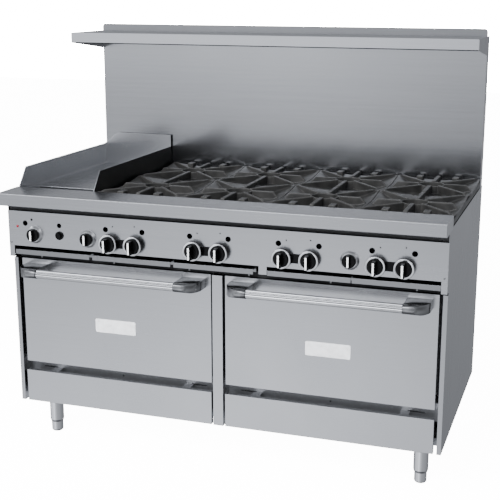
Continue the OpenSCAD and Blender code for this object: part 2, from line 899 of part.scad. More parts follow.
// Oven liner: open box with a face flange round the door opening
module oven_liner(cx) {
    x0 = cx - cavity_w / 2;
    x1 = cx + cavity_w / 2;
    face = door_cx - cavity_w / 2 - post_w / 2;
    rib = 4;
    ledge_w = 10;
    difference() {
        union() {
            box(x0 - liner_t, x1 + liner_t, y_face, cavity_y1 + liner_t,
                cavity_z0 - liner_t, cavity_z1 + liner_t);
            box(x0 - face, x1 + face, y_face, y_face + liner_t,
                hinge_z + 15, tray_z0 - 0.4 - sheet);
        }
        box(x0, x1, y_face - 1, cavity_y1, cavity_z0, cavity_z1);
    }
    // Rack ledges pressed into the side walls
    for (z = ledge_z) {
        box(x0, x0 + ledge_w, y_face + 30, cavity_y1 - 30, z - rib, z);
        box(x1 - ledge_w, x1, y_face + 30, cavity_y1 - 30, z - rib, z);
    }
}

module oven_liners() {
    color(enamel)
        for (s = [-1, 1])
            oven_liner(s * door_cx);
}

// Mineral wool round the sides, top and back of each liner
module oven_insulation() {
    gap = liner_t;
    color(wool)
        for (s = [-1, 1]) {
            x0 = s * door_cx - cavity_w / 2 - gap;
            x1 = s * door_cx + cavity_w / 2 + gap;
            difference() {
                box(x0 - wool_t, x1 + wool_t, y_face + 8, cavity_y1 + wool_t,
                    cavity_z0, cavity_z1 + gap + wool_t - 2);
                box(x0, x1, y_face, cavity_y1 + gap, cavity_z0 - 1, cavity_z1 + gap);
            }
        }
}

// Wire rack in each oven
module oven_rack(cx) {
    x0 = cx - cavity_w / 2 + 5;
    x1 = cx + cavity_w / 2 - 5;
    y0 = y_face + 36;
    y1 = cavity_y1 - 36;
    frame_rod = 8;
    z = ledge_z[1] + frame_rod / 2;
    wire = 4;
    pitch = 42;
    bar_x(x0, x1, y0, z, frame_rod);
    bar_x(x0, x1, y1, z, frame_rod);
    bar_along_y(x0 + frame_rod / 2, y0, y1, z, frame_rod);
    bar_along_y(x1 - frame_rod / 2, y0, y1, z, frame_rod);
    bar_x(x0, x1, (y0 + y1) / 2, z, 6);
    for (x = [x0 + pitch : pitch : x1 - pitch / 2])
        bar_along_y(x, y0, y1, z, wire);
}

module oven_racks() {
    color(chrome)
        for (s = [-1, 1])
            oven_rack(s * door_cx);
}

// ---- Legs ----

// Leg: tube with a plate at the top and a stud that screws into the base
module leg_tube(x, y) {
    collar = 8;
    difference() {
        union() {
            bar_up(x, y, foot_h + collar, leg_h + 1, leg_d);
            translate([x, y, foot_h])
                cylinder(h = collar, d1 = leg_d - 5, d2 = leg_d);
            bar_up(x, y, leg_h, base_z0, leg_d + 28);
            bar_up(x, y, base_z0, base_z0 + 17, stud_d - 2 * running);
        }
        bar_up(x, y, foot_h - 1, foot_h + stem_len + 4, foot_stem_d + 2 * running);
    }
}

module legs() {
    color(steel)
        both_sides()
            for (y = leg_y)
                leg_tube(leg_x, y);
}

// Levelling foot: a bullet foot on a stem that screws into the leg
module foot(x, y) {
    round_r = 8;
    color(steel) {
        translate([x, y, 0])
            rotate_extrude()
                union() {
                    translate([0, round_r])
                        square([foot_d / 2, foot_h - 0.5 - round_r]);
                    square([foot_d / 2 - round_r, foot_h / 2]);
                    intersection() {
                        translate([foot_d / 2 - round_r, round_r])
                            circle(r = round_r);
                        square([foot_d, round_r]);
                    }
                }
        bar_up(x, y, foot_h - 1, foot_h + stem_len, foot_stem_d);
    }
}

// ---- Doors ----

// Opening for a hinge lug, cut through the lower edge of a door
module lug_cut(cx) {
    for (s = [-1, 1])
        box(cx + s * hinge_dx - 5, cx + s * hinge_dx + 5, hinge_y - 14, y_face,
            door_z0 - 1, hinge_z + 16);
}

// Outer pan of a door
module door_skin(cx) {
    x0 = cx - door_w / 2;
    x1 = cx + door_w / 2;
    y1 = y_door + door_t;
    lip = 18;
    color(steel)
        difference() {
            box(x0, x1, y_door, y1, door_z0, door_z1);
            box(x0 + sheet, x1 - sheet, y_door + sheet, y1 - sheet,
                door_z0 + sheet, door_z1 - sheet);
            box(x0 + lip, x1 - lip, y1 - 5, y1 + 1, door_z0 + lip + 6, door_z1 - lip);
            lug_cut(cx);
        }
}

// Inner panel of a door, its raised centre and the two hinge yokes
module door_liner(cx) {
    y0 = y_door + door_t;
    half = door_w / 2 - 12;
    plug = 320;
    yoke_y0 = y_door + sheet;
    yoke_y1 = y0 - sheet;
    color(dark_steel) {
        difference() {
            union() {
                box(cx - half, cx + half, y0, y0 + 2, hinge_z + 5, door_z1 - 8);
                box(cx - half, cx - half + 12, y0 + 2, y0 + 9, hinge_z + 5, door_z1 - 8);
                box(cx + half - 12, cx + half, y0 + 2, y0 + 9, hinge_z + 5, door_z1 - 8);
                box(cx - half, cx + half, y0 + 2, y0 + 9, hinge_z + 5, hinge_z + 17);
                box(cx - half, cx + half, y0 + 2, y0 + 9, door_z1 - 20, door_z1 - 8);
                box(cx - plug, cx + plug, y0 + 2, y0 + 23, cavity_z0 + 10, cavity_z1 - 12);
            }
            box(cx - plug + 2, cx + plug - 2, y0 - 1, y0 + 21, cavity_z0 + 12, cavity_z1 - 14);
            lug_cut(cx);
            // Clearance for the yokes
            for (s = [-1, 1])
                box(cx + s * hinge_dx - 10, cx + s * hinge_dx + 10, y0 - 1, y0 + 12,
                    door_z0, hinge_z + 16);
        }
        for (s = [-1, 1]) {
            x = cx + s * hinge_dx;
            for (t = [-1, 1])
                box(x + t * 7 - 2, x + t * 7 + 2, yoke_y0, yoke_y1,
                    door_z0 + 4, hinge_z + 80);
            bar_x(x - 9, x + 9, hinge_y, hinge_z, hinge_pin_d);
            box(x - 9, x + 9, yoke_y0, y0, hinge_z + 60, hinge_z + 80);
        }
    }
}

// Cast end of a handle: a sleeve round the bar, rounded in plan at its outer corner,
// and a pocket under it
module handle_bracket() {
    r = bar_d / 2 + 1;
    y0 = bar_y - r;
    reach = y_door - y0;
    corner = 70;
    inner = bar_half - 2;
    wall = 5;
    outer_wall = 23;
    difference() {
        intersection() {
            // Plan
            translate([0, 0, bar_z - 60])
                linear_extrude(height = 120)
                    union() {
                        translate([inner, y0])
                            square([bracket_half - corner - inner, reach]);
                        translate([inner, y0 + corner])
                            square([bracket_half - inner, reach - corner]);
                        translate([bracket_half - corner, y0 + corner])
                            circle(r = corner);
                    }
            // Side
            run_x(inner, bracket_half + 1)
                union() {
                    translate([bar_y, bar_z])
                        circle(r = r);
                    translate([bar_y, bar_z - r])
                        square([reach - r, 2 * r]);
                }
        }
        box(inner + wall, bracket_half - outer_wall, y0 + 2 * r, y_door - wall,
            bar_z - r - 1, bar_z + r - wall);
    }
}

// Handle: fluted bar held between two cast ends
module door_handle(cx) {
    flutes = 20;
    flute_d = 3.4;
    color(chrome)
        translate([cx, 0, 0]) {
            translate([-bar_half, bar_y, bar_z])
                rotate([0, 90, 0])
                    linear_extrude(height = 2 * bar_half - 2)
                        difference() {
                            circle(d = bar_d);
                            for (a = [0 : 360 / flutes : 359])
                                rotate(a)
                                    translate([bar_d / 2 + 0.7, 0])
                                        circle(d = flute_d);
                        }
            both_sides()
                handle_bracket();
        }
}

// Blank plate on a door
module door_plate(cx) {
    plate_w = 150;
    plate_h = 48;
    plate_z = 457;
    color(chrome)
        box(cx - plate_w / 2, cx + plate_w / 2, y_door - 2, y_door,
            plate_z - plate_h / 2, plate_z + plate_h / 2);
}

// ---- Trays and kick panels ----

// Crumb tray: front lip with a finger flange, shallow tray behind it
module tray(i) {
    x0 = tray_x[i][0];
    x1 = tray_x[i][1];
    wall = 1.2;
    z1 = tray_z0 + tray_lip_h;
    pan_y0 = y_panel + 34;
    color(steel) {
        box(x0, x1, y_panel, y_panel + wall, tray_z0, z1);
        box(x0, x1, y_panel, pan_y0, z1 - wall, z1);
        box(x0, x1, pan_y0 - wall, pan_y0, tray_z0, z1 - wall);
        box(x0, x1, pan_y0, tray_y1, tray_z0, tray_z0 + wall);
        for (x = [x0, x1 - wall])
            box(x, x + wall, pan_y0, tray_y1, tray_z0, z1);
        box(x0, x1, tray_y1 - wall, tray_y1, tray_z0, z1);
    }
}

// Kick panel: a folded sheet that clips under the doors
module kick_panel(cx) {
    x0 = cx - kick_w / 2;
    x1 = cx + kick_w / 2;
    fold = 16;
    color(steel) {
        box(x0, x1, y_kick, y_kick + sheet, leg_h, kick_z1);
        box(x0, x1, y_kick, y_kick + fold, kick_z1 - sheet, kick_z1);
        box(x0, x1, y_kick, y_kick + fold, leg_h, leg_h + sheet);
        for (x = [x0, x1 - sheet])
            box(x, x + sheet, y_kick, y_kick + fold, leg_h, kick_z1);
    }
}

// ---- Fasteners ----

// Screw head that sits on a face and points to the front
module front_head(x, y, z, d) {
    bar_along_y(x, y - 2.5, y, z, d);
}

module fasteners() {
    cross_y = y_panel + 44;
    color(chrome) {
        for (x = [-half_w + 8, half_w - 10])
            front_head(x, y_panel, panel_z0 + 10, 6);
        both_sides() {
            for (x = [104, 377, 651])
                front_head(x, cross_y, 680, 6);
            front_head(door_cx, y_face, strip_screw_z, 7);
            // Screws of the back panel
            for (z = [200, 400, 600, 820])
                bar_along_y(half_w - 7, y_skin + sheet, y_back, z, 9);
        }
        // Bolts of the shelf's flange
        for (x = [-600 : 300 : 600])
            front_head(x, y_guard - sheet, shelf_z0 + 12, 8);
    }
}

side_panels();
back_panel();
base_frame();
front_frame();
front_rail();
control_panel();
dial_bezels();
panel_trim();
backguard();
high_shelf();
top_frame();
griddle_plate();
griddle_splash();
burners();
gas_manifold();
gas_valves();
oven_liners();
oven_insulation();
oven_racks();
legs();
fasteners();
door_skin(-door_cx);  // door_skin_left
door_liner(-door_cx);  // door_liner_left
door_handle(-door_cx);  // door_handle_left
door_plate(-door_cx);  // door_plate_left
door_skin(door_cx);  // door_skin_right
door_liner(door_cx);  // door_liner_right
door_handle(door_cx);  // door_handle_right
door_plate(door_cx);  // door_plate_right
kick_panel(-door_cx);  // kick_panel_left
kick_panel(door_cx);  // kick_panel_right
tray(0);  // tray_1
tray(1);  // tray_2
tray(2);  // tray_3
tray(3);  // tray_4
tray(4);  // tray_5
grate_front(0);  // grate_front_1
grate_front(1);  // grate_front_2
grate_front(2);  // grate_front_3
grate_front(3);  // grate_front_4
grate_rear(0);  // grate_rear_1
grate_rear(1);  // grate_rear_2
grate_rear(2);  // grate_rear_3
grate_rear(3);  // grate_rear_4
burner_knob(0);  // burner_knob_1
burner_knob(1);  // burner_knob_2
burner_knob(2);  // burner_knob_3
burner_knob(3);  // burner_knob_4
burner_knob(4);  // burner_knob_5
burner_knob(5);  // burner_knob_6
burner_knob(6);  // burner_knob_7
burner_knob(7);  // burner_knob_8
dial_knob(oven_knob_x[0]);  // oven_knob_left
dial_knob(griddle_knob_x);  // griddle_knob
dial_knob(oven_knob_x[1]);  // oven_knob_right
igniter_button();
foot(-leg_x, leg_y[0]);  // foot_1
foot(leg_x, leg_y[0]);  // foot_2
foot(-leg_x, leg_y[1]);  // foot_3
foot(leg_x, leg_y[1]);  // foot_4
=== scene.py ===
import math

import bmesh
import bpy
from mathutils import Matrix, Vector


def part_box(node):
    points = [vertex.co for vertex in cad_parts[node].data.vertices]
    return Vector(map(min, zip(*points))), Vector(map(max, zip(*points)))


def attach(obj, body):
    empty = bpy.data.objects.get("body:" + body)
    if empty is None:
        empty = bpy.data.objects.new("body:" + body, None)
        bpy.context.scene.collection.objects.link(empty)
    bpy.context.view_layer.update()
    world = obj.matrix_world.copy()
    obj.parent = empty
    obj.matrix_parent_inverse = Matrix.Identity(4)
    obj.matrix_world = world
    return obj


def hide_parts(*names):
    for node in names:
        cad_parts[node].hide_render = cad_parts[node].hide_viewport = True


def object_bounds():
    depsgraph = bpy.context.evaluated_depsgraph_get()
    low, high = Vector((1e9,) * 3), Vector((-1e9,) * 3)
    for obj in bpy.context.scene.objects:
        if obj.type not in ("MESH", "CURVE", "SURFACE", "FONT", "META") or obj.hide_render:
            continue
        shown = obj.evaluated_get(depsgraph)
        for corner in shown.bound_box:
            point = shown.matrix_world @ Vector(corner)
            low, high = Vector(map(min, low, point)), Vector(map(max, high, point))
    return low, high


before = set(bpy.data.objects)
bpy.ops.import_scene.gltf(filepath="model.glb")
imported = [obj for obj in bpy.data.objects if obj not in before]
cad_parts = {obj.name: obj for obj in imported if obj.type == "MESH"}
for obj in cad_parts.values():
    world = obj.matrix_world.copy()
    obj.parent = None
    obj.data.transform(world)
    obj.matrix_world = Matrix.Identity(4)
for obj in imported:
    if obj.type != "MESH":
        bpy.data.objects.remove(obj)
cad_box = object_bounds()

MM = 0.001
SIDES = {"left": -1, "right": 1}

# Faces of sheet parts larger than this, in square metres, are shaded flat
FLAT_AREA = 0.0001

# Brightness of the studio in pairs: the direction's upward or rightward part, then the level.
# In front of the range, by height: bright low down, and a strip light high up
FRONT_BY_HEIGHT = [(-1, 0.14), (-0.7, 0.30), (-0.5, 0.90), (-0.38, 1.4), (-0.3, 1.0),
                   (-0.2, 0.56), (-0.1, 0.40), (-0.04, 1.1), (0.25, 0.5), (0.42, 0.5),
                   (0.5, 4.0), (0.64, 4.0), (0.72, 0.4), (1, 0.3)]
# In front of the range, from left to right
FRONT_BY_SIDE = [(-1, 0.6), (-0.5, 0.76), (-0.38, 0.86), (-0.28, 1.08), (-0.14, 0.68),
                 (0.1, 0.50), (0.4, 0.32), (1, 0.24)]
# Behind the range, by height
BACK_BY_HEIGHT = [(-1, 0.14), (-0.4, 0.20), (-0.2, 0.26), (-0.05, 0.26), (0.04, 0.32),
                  (0.2, 0.30), (0.6, 0.24), (1, 0.5)]
STUDIO_TINT = (0.95, 0.985, 1.06, 1)
STUDIO_STRENGTH = 1.35
BACKDROP_STRENGTH = 40.0


# ---- Where things are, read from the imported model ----

def low(node):
    return Vector(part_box(node)[0])


def high(node):
    return Vector(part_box(node)[1])


def middle(node):
    return (low(node) + high(node)) / 2


PANEL_Y = low("control_panel").y
FLOOR_Z = cad_box[0][2]


# ---- Camera, light and backdrop ----

def make_camera():
    """The photograph's own view, as a camera 3 m in front of the range."""
    yaw, pitch, roll = 0.3116, -0.2411, 0.0037
    forward = Vector((-math.sin(yaw) * math.cos(pitch),
                      math.cos(yaw) * math.cos(pitch),
                      math.sin(pitch)))
    level = Vector((math.cos(yaw), math.sin(yaw), 0))
    upright = level.cross(forward)
    right = math.cos(roll) * level + math.sin(roll) * upright
    up = -math.sin(roll) * level + math.cos(roll) * upright
    data = bpy.data.cameras.new("camera")
    data.sensor_width = 36
    data.lens = 75.07
    data.shift_x = -0.0362
    data.shift_y = -0.0036
    data.clip_end = 60
    camera = bpy.data.objects.new("camera", data)
    pose = Matrix((right, up, -forward)).transposed().to_4x4()
    pose.translation = Vector((1.1613, -3.4177, 1.5711))
    camera.matrix_world = pose
    bpy.context.scene.collection.objects.link(camera)
    bpy.context.scene.camera = camera


def area_light(name, place, target, size, power):
    """A soft light for paint and plastic, which metal doesn't mirror."""
    data = bpy.data.lights.new(name, "AREA")
    data.shape = "RECTANGLE"
    data.size, data.size_y = size
    data.energy = power
    light = bpy.data.objects.new(name, data)
    light.location = place
    aim = Vector(target) - Vector(place)
    light.rotation_euler = aim.to_track_quat("-Z", "Y").to_euler()
    light.visible_glossy = False
    bpy.context.scene.collection.objects.link(light)


def studio_levels(tree, value, stops):
    """Brightness of the studio along one component of the direction, from -1 to 1."""
    ramp = tree.nodes.new("ShaderNodeValToRGB")
    points = ramp.color_ramp.elements
    while len(points) < len(stops):
        points.new(0.5)
    for point, (place, level) in zip(points, stops):
        point.position = (place + 1) / 2
        point.color = (level, level, level, 1)
    tree.links.new(map_range(tree, value, -1, 1, 0, 1), ramp.inputs["Fac"])
    return ramp.outputs["Color"]


def make_world():
    """Studio: bright in front, dim to the right and behind, with a white backdrop."""
    world = bpy.data.worlds.new("studio")
    bpy.context.scene.world = world
    world.use_nodes = True
    tree = world.node_tree
    tree.nodes.clear()
    out = tree.nodes.new("ShaderNodeOutputWorld")
    coord = tree.nodes.new("ShaderNodeTexCoord")
    split = tree.nodes.new("ShaderNodeSeparateXYZ")
    tree.links.new(coord.outputs["Generated"], split.inputs[0])
    front = add(tree, studio_levels(tree, split.outputs["Z"], FRONT_BY_HEIGHT),
                studio_levels(tree, split.outputs["X"], FRONT_BY_SIDE), "MULTIPLY")
    back = studio_levels(tree, split.outputs["Z"], BACK_BY_HEIGHT)
    blend = tree.nodes.new("ShaderNodeMixRGB")
    tree.links.new(map_range(tree, split.outputs["Y"], -0.3, 0.4, 0, 1), blend.inputs["Fac"])
    tree.links.new(front, blend.inputs["Color1"])
    tree.links.new(back, blend.inputs["Color2"])
    cool = tree.nodes.new("ShaderNodeMixRGB")
    cool.blend_type = "MULTIPLY"
    cool.inputs["Fac"].default_value = 1.0
    cool.inputs["Color2"].default_value = STUDIO_TINT
    tree.links.new(blend.outputs["Color"], cool.inputs["Color1"])
    walls = tree.nodes.new("ShaderNodeBackground")
    tree.links.new(cool.outputs["Color"], walls.inputs["Color"])
    walls.inputs["Strength"].default_value = STUDIO_STRENGTH
    backdrop = tree.nodes.new("ShaderNodeBackground")
    backdrop.inputs["Color"].default_value = (1, 1, 1, 1)
    backdrop.inputs["Strength"].default_value = BACKDROP_STRENGTH
    path = tree.nodes.new("ShaderNodeLightPath")
    mix = tree.nodes.new("ShaderNodeMixShader")
    tree.links.new(path.outputs["Is Camera Ray"], mix.inputs["Fac"])
    tree.links.new(walls.outputs[0], mix.inputs[1])
    tree.links.new(backdrop.outputs[0], mix.inputs[2])
    tree.links.new(mix.outputs[0], out.inputs["Surface"])


def make_floor():
    """White floor, bright to the camera and dim to everything else."""
    size = 14
    bounce, seen = 0.2, 14.0
    mesh = bpy.data.meshes.new("floor")
    mesh.from_pydata([(-size, -size, FLOOR_Z), (size, -size, FLOOR_Z),
                      (size, size, FLOOR_Z), (-size, size, FLOOR_Z)], [], [(0, 1, 2, 3)])
    floor = bpy.data.objects.new("floor", mesh)
    bpy.context.scene.collection.objects.link(floor)
    mat, tree, shader = new_material("pale_floor")
    shader.inputs["Roughness"].default_value = 0.9
    tint(tree, shader, noise(tree, 3, detail=4.0), (0.93, 0.93, 0.93), (0.96, 0.96, 0.96))
    path = tree.nodes.new("ShaderNodeLightPath")
    glow = map_range(tree, path.outputs["Is Camera Ray"], 0, 1, bounce, seen)
    shader.inputs["Emission Color"].default_value = (1, 1, 1, 1)
    tree.links.new(glow, shader.inputs["Emission Strength"])
    mesh.materials.append(mat)
    floor.visible_glossy = False


# ---- Node helpers ----

def new_material(name):
    mat = bpy.data.materials.new(name)
    mat.use_nodes = True
    return mat, mat.node_tree, mat.node_tree.nodes["Principled BSDF"]


def map_range(tree, value, from_min, from_max, to_min, to_max):
    node = tree.nodes.new("ShaderNodeMapRange")
    tree.links.new(value, node.inputs["Value"])
    for key, number in (("From Min", from_min), ("From Max", from_max),
                        ("To Min", to_min), ("To Max", to_max)):
        node.inputs[key].default_value = number
    return node.outputs["Result"]


def noise(tree, scale, stretch=(1, 1, 1), detail=3.0, roughness=0.55):
    """Noise in the object's own coordinates, in metres, stretched by axis."""
    coord = tree.nodes.new("ShaderNodeTexCoord")
    mapping = tree.nodes.new("ShaderNodeMapping")
    mapping.inputs["Scale"].default_value = stretch
    tree.links.new(coord.outputs["Object"], mapping.inputs["Vector"])
    node = tree.nodes.new("ShaderNodeTexNoise")
    node.inputs["Scale"].default_value = scale
    node.inputs["Detail"].default_value = detail
    node.inputs["Roughness"].default_value = roughness
    tree.links.new(mapping.outputs[0], node.inputs["Vector"])
    return node.outputs["Fac"]


def add(tree, first, second, operation="ADD"):
    node = tree.nodes.new("ShaderNodeMath")
    node.operation = operation
    tree.links.new(first, node.inputs[0])
    tree.links.new(second, node.inputs[1])
    return node.outputs[0]


def tint(tree, shader, fac, dark, light):
    ramp = tree.nodes.new("ShaderNodeValToRGB")
    ramp.color_ramp.elements[0].position = 0.3
    ramp.color_ramp.elements[0].color = (*dark, 1)
    ramp.color_ramp.elements[1].position = 0.7
    ramp.color_ramp.elements[1].color = (*light, 1)
    tree.links.new(fac, ramp.inputs["Fac"])
    tree.links.new(ramp.outputs["Color"], shader.inputs["Base Color"])


def bump(tree, shader, height, strength, distance):
    node = tree.nodes.new("ShaderNodeBump")
    node.inputs["Strength"].default_value = strength
    node.inputs["Distance"].default_value = distance
    tree.links.new(height, node.inputs["Height"])
    tree.links.new(node.outputs[0], shader.inputs["Normal"])


# ---- Materials ----

def brushed_steel(name, along, color=0.64, rough=0.26, grain=0.018):
    """Satin stainless sheet: fine scratches along one axis, with cloudy wipe marks."""
    mat, tree, shader = new_material(name)
    shader.inputs["Metallic"].default_value = 1.0
    stretch = [1.0, 1.0, 1.0]
    stretch["xyz".index(along)] = 0.02
    scratches = noise(tree, 900, stretch, detail=2.0)
    streaks = noise(tree, 110, stretch, detail=2.0)
    clouds = noise(tree, 5, detail=4.0)
    lines = add(tree, scratches, streaks)
    level = map_range(tree, lines, 0.5, 1.5, rough - grain, rough + grain)
    wipe = map_range(tree, clouds, 0.3, 0.7, -0.012, 0.012)
    tree.links.new(add(tree, level, wipe), shader.inputs["Roughness"])
    cool = (1.0, 1.005, 1.02)
    tint(tree, shader, map_range(tree, lines, 0.6, 1.4, 0.2, 0.8),
         [color * 0.98 * c for c in cool], [color * 1.02 * c for c in cool])
    bump(tree, shader, lines, 0.06, 0.00005)
    return mat


def cast_iron(name, dark=0.016, light=0.040, rough=0.42):
    """Black cast iron: pitted skin, blotchy seasoning, rubbed where it stands proud."""
    mat, tree, shader = new_material(name)
    pits = noise(tree, 420, detail=5.0, roughness=0.6)
    blotches = noise(tree, 22, detail=4.0)
    geometry = tree.nodes.new("ShaderNodeNewGeometry")
    rubbed = map_range(tree, geometry.outputs["Pointiness"], 0.50, 0.58, 0.0, 0.5)
    tone = add(tree, map_range(tree, blotches, 0.3, 0.7, 0.25, 0.6), rubbed)
    tint(tree, shader, tone, (dark, dark, dark * 0.98), (light, light * 0.98, light * 0.94))
    tree.links.new(map_range(tree, blotches, 0.3, 0.7, rough - 0.1, rough + 0.12),
                   shader.inputs["Roughness"])
    shader.inputs["Specular IOR Level"].default_value = 0.7
    bump(tree, shader, pits, 0.3, 0.0005)
    return mat


def polished(name, color=0.80, rough=0.10, along=None):
    """Bright plated or polished metal with hairline scratches."""
    mat, tree, shader = new_material(name)
    shader.inputs["Metallic"].default_value = 1.0
    stretch = [1.0, 1.0, 1.0]
    if along:
        stretch["xyz".index(along)] = 0.03
    hair = noise(tree, 700, stretch, detail=3.0)
    smears = noise(tree, 18, detail=3.0)
    tree.links.new(map_range(tree, add(tree, hair, smears), 0.6, 1.4, rough - 0.04, rough + 0.06),
                   shader.inputs["Roughness"])
    tint(tree, shader, smears, [color * 0.97] * 3, [color, color, color * 1.01])
    bump(tree, shader, hair, 0.04, 0.00004)
    return mat


def moulded(name, color, rough=0.22, specular=0.5):
    """Moulded plastic with a faint orange peel and handling marks."""
    mat, tree, shader = new_material(name)
    peel = noise(tree, 300, detail=2.0)
    marks = noise(tree, 40, detail=4.0)
    tint(tree, shader, marks, [c * 0.8 for c in color], color)
    tree.links.new(map_range(tree, marks, 0.3, 0.7, rough - 0.06, rough + 0.1),
                   shader.inputs["Roughness"])
    shader.inputs["Specular IOR Level"].default_value = specular
    bump(tree, shader, peel, 0.06, 0.0003)
    return mat


def speckled(name, dark, light, scale, rough, metallic=0.0, depth=0.0003, specular=0.5):
    """Mottled skin for enamel, zinc, brass, wool, and the dark paint that is painted shade in gaps
    and recesses.
    """
    mat, tree, shader = new_material(name)
    shader.inputs["Metallic"].default_value = metallic
    shader.inputs["Specular IOR Level"].default_value = specular
    grain = noise(tree, scale, detail=5.0, roughness=0.65)
    clouds = noise(tree, 9, detail=3.0)
    tone = add(tree, map_range(tree, grain, 0.3, 0.7, 0.2, 0.5),
               map_range(tree, clouds, 0.3, 0.7, 0.0, 0.3))
    tint(tree, shader, tone, dark, light)
    tree.links.new(map_range(tree, clouds, 0.3, 0.7, rough - 0.06, rough + 0.08),
                   shader.inputs["Roughness"])
    bump(tree, shader, grain, 0.15, depth)
    return mat


MATS = {
    "steel_x": brushed_steel("steel_brushed_x", "x"),
    "steel_z": brushed_steel("steel_brushed_z", "z"),
    "steel_y": brushed_steel("steel_brushed_y", "y", color=0.64),
    "side": brushed_steel("steel_side", "z", color=0.54),
    "backguard": brushed_steel("steel_backguard", "x", color=0.62, rough=0.19),
    # Lit and shaded copies of one steel: the shelf's is darkened as painted shade, its lip's is
    # brightened as painted light
    "shelf": brushed_steel("steel_shelf_painted_shade", "x", color=0.44, rough=0.30),
    "lip": brushed_steel("steel_lip_painted_light", "x", color=0.90, rough=0.30),
    "tray": brushed_steel("steel_tray", "x", color=0.38),
    # Near-black steel for the right-facing side of the griddle splash's right half
    "splash_dark_side": brushed_steel("steel_splash_dark_side", "y", color=0.12, rough=0.3),
    "post": brushed_steel("steel_post", "z", color=0.62, rough=0.5),
    "leg": brushed_steel("steel_tube", "z", color=0.80, rough=0.17),
    "griddle": brushed_steel("steel_griddle", "y", color=0.60, rough=0.22, grain=0.02),
    "iron": cast_iron("cast_iron"),
    "chrome": polished("chrome"),
    "ring": polished("chrome_ring", color=0.97, rough=0.16),
    "satin": polished("satin_dish", color=0.92, rough=0.34),
    "bar": polished("handle_bar_steel", color=0.92, rough=0.09, along="x"),
    "casting": polished("handle_casting", color=0.36, rough=0.18),
    "screw": polished("screw_steel", color=0.36, rough=0.3),
    "plate": moulded("plate_white", (0.90, 0.91, 0.93), rough=0.3),
    "black": moulded("black_plastic", (0.0022, 0.0022, 0.0024), specular=0.16),
    "white": moulded("white_paint", (0.92, 0.93, 0.94), rough=0.35),
    "red": moulded("red_lens", (0.24, 0.008, 0.02), rough=0.12),
    "enamel": speckled("enamel", (0.02, 0.02, 0.025), (0.06, 0.06, 0.07), 500, 0.25),
    "zinc": speckled("zinc_sheet", (0.42, 0.43, 0.45), (0.56, 0.57, 0.59), 60, 0.45, metallic=1.0),
    # Dark paint stands in for shade: painted shade on parts seen in gaps and recesses
    "paint": speckled("dark_painted_shade", (0.020, 0.020, 0.021), (0.042, 0.042, 0.044), 260, 0.5,
                      specular=0.25),
    "brass": speckled("brass", (0.45, 0.33, 0.14), (0.62, 0.48, 0.24), 120, 0.35, metallic=1.0),
    "wool": speckled("mineral_wool", (0.42, 0.36, 0.20), (0.62, 0.55, 0.34), 300, 0.95,
                     depth=0.002),
}


# ---- Making pieces ----

def finish_piece(piece, body, nodes=()):
    """Puts a piece on its body, and hides the CAD nodes that it stands for."""
    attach(piece, body)
    if nodes:
        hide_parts(*nodes)
    return piece


def link(name, mesh, mat):
    mesh.materials.clear()
    mesh.materials.append(MATS[mat])
    piece = bpy.data.objects.new(name, mesh)
    bpy.context.scene.collection.objects.link(piece)
    return piece


def smooth_by_angle(mesh, angle=40):
    for face in mesh.polygons:
        face.use_smooth = True
    mesh.set_sharp_from_angle(angle=math.radians(angle))


def cleaned_copy(node):
    """A CAD node's mesh, welded, with its flat faces whole again."""
    bm = bmesh.new()
    bm.from_mesh(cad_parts[node].data)
    bmesh.ops.remove_doubles(bm, verts=bm.verts, dist=1e-5)
    bmesh.ops.dissolve_limit(bm, angle_limit=math.radians(0.5), verts=bm.verts, edges=bm.edges)
    return bm


def rounded(node, body, mat, width=0.6, segments=2, name=None):
    """The CAD node with its edges broken, as folded or cast edges are."""
    bm = cleaned_copy(node)
    sharp = [e for e in bm.edges if len(e.link_faces) == 2
             and e.calc_face_angle(0) > math.radians(35)]
    bmesh.ops.bevel(bm, geom=sharp, offset=width * MM, segments=segments, affect="EDGES",
                    profile=0.5, clamp_overlap=True, harden_normals=False)
    mesh = bpy.data.meshes.new(name or node + "_sheet")
    bm.to_mesh(mesh)
    bm.free()
    smooth_by_angle(mesh)
    for face in mesh.polygons:
        if face.area > FLAT_AREA:
            face.use_smooth = False
    piece = link(name or node + "_sheet", mesh, mat)
    return finish_piece(piece, body, [node])


def lathe(profile, steps=64):
    """A mesh turned round the Z axis from (radius, height) points."""
    bm = bmesh.new()
    rings = []
    for radius, height in profile:
        if radius < 1e-6:
            rings.append([bm.verts.new((0, 0, height))])
            continue
        rings.append([bm.verts.new((radius * math.cos(2 * math.pi * i / steps),
                                    radius * math.sin(2 * math.pi * i / steps), height))
                      for i in range(steps)])
    for lower, upper in zip(rings, rings[1:]):
        for i in range(steps):
            j = (i + 1) % steps
            corners = [lower[i % len(lower)], lower[j % len(lower)],
                       upper[j % len(upper)], upper[i % len(upper)]]
            unique = list(dict.fromkeys(corners))
            if len(unique) > 2:
                bm.faces.new(unique)
    bmesh.ops.recalc_face_normals(bm, faces=bm.faces)
    return bm


def facing_front(bm, x, y, z):
    """Turns a lathe shape so that its axis points to the front, and places it."""
    spin = Matrix.Rotation(math.radians(90), 4, "X")
    bmesh.ops.transform(bm, matrix=Matrix.Translation((x, y, z)) @ spin, verts=bm.verts)


def piece_from(bm, name, mat, body, nodes=(), angle=40):
    mesh = bpy.data.meshes.new(name)
    bm.to_mesh(mesh)
    bm.free()
    smooth_by_angle(mesh, angle)
    return finish_piece(link(name, mesh, mat), body, nodes)


def block(bm, lo, hi, bevel=0.0, segments=2):
    """Adds a box with broken edges to a bmesh."""
    made = bmesh.ops.create_cube(bm, size=1.0)["verts"]
    lo, hi = Vector(lo), Vector(hi)
    scale = Matrix.Diagonal((*(hi - lo), 1.0))
    bmesh.ops.transform(bm, matrix=Matrix.Translation((lo + hi) / 2) @ scale, verts=made)
    if bevel:
        edges = list({e for v in made for e in v.link_edges})
        bmesh.ops.bevel(bm, geom=edges, offset=bevel, segments=segments, affect="EDGES",
                        profile=0.5, clamp_overlap=True)


# ---- Sheet metal ----

